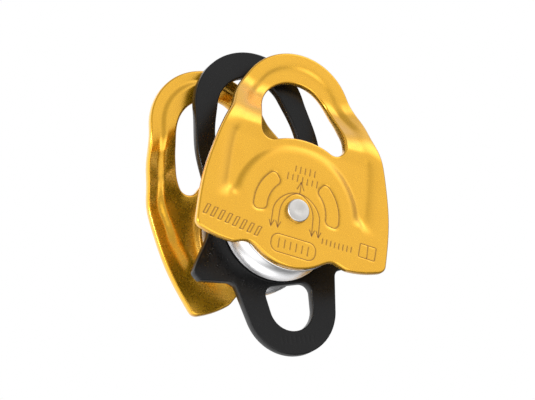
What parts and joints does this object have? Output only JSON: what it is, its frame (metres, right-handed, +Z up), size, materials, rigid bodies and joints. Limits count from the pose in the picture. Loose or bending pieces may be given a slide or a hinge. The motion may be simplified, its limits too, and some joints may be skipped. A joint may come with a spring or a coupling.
{
  "type": "rope pulley",
  "caption": "Compact double rope pulley with side-by-side bearing sheaves, two swinging pressed side plates and a centre plate with an upper carabiner eye and a lower hole.",
  "frame": {"origin": "on the axle's axis, in the middle of the centre plate's thickness", "axes": "+Y along the axle towards the rear plate, +Z up the centre plate to its carabiner eye, +X to the right seen from the front"},
  "size_m": [0.0654, 0.037, 0.0955],
  "materials": {
    "gold_anodised": "satin gold anodised pressed sheet",
    "black_anodised": "fine matte black anodised plate with a polished edge line",
    "machined_aluminium": "turned bright satin",
    "axle_steel": "satin stainless with formed heads",
    "spacer_steel": "turned",
    "bearing_steel": "ground",
    "ball_steel": "polished",
    "cage_nylon": "moulded",
    "seal_rubber": "matte moulded"
  },
  "bodies": {
    "centre": {"centre_plate": "black_anodised", "axle": "axle_steel", "front_bearing_inner_ring": "bearing_steel", "front_inner_spacer": "spacer_steel", "front_outer_spacer": "spacer_steel", "rear_bearing_inner_ring": "bearing_steel", "rear_inner_spacer": "spacer_steel", "rear_outer_spacer": "spacer_steel"},
    "front_plate": {"front_side_plate": "gold_anodised"},
    "rear_plate": {"rear_side_plate": "gold_anodised"},
    "front_wheel": {"front_sheave": "machined_aluminium", "front_bearing_outer_ring": "bearing_steel", "front_bearing_outer_seal": "seal_rubber", "front_bearing_inner_seal": "seal_rubber"},
    "rear_wheel": {"rear_sheave": "machined_aluminium", "rear_bearing_outer_ring": "bearing_steel", "rear_bearing_outer_seal": "seal_rubber", "rear_bearing_inner_seal": "seal_rubber"},
    "front_ball_set": {"front_bearing_balls": "ball_steel", "front_bearing_cage": "cage_nylon"},
    "rear_ball_set": {"rear_bearing_balls": "ball_steel", "rear_bearing_cage": "cage_nylon"}
  },
  "joints": [
    {"name": "front_plate_swing", "type": "hinge", "parent": "centre", "child": "front_plate", "pos_m": [0, 0, 0], "axis": [0, 1, 0], "continuous": true},
    {"name": "rear_plate_swing", "type": "hinge", "parent": "centre", "child": "rear_plate", "pos_m": [0, 0, 0], "axis": [0, 1, 0], "continuous": true},
    {"name": "front_sheave_spin", "type": "hinge", "parent": "centre", "child": "front_wheel", "pos_m": [0, 0, 0], "axis": [0, 1, 0], "continuous": true},
    {"name": "rear_sheave_spin", "type": "hinge", "parent": "centre", "child": "rear_wheel", "pos_m": [0, 0, 0], "axis": [0, 1, 0], "continuous": true},
    {"name": "front_ball_set_spin", "type": "hinge", "parent": "centre", "child": "front_ball_set", "pos_m": [0, 0, 0], "axis": [0, 1, 0], "continuous": true},
    {"name": "rear_ball_set_spin", "type": "hinge", "parent": "centre", "child": "rear_ball_set", "pos_m": [0, 0, 0], "axis": [0, 1, 0], "continuous": true}
  ],
  "couplings": [
    {"joint": "front_ball_set_spin", "follows": "front_sheave_spin", "ratio": 0.61111},
    {"joint": "rear_ball_set_spin", "follows": "rear_sheave_spin", "ratio": 0.61111}
  ]
}
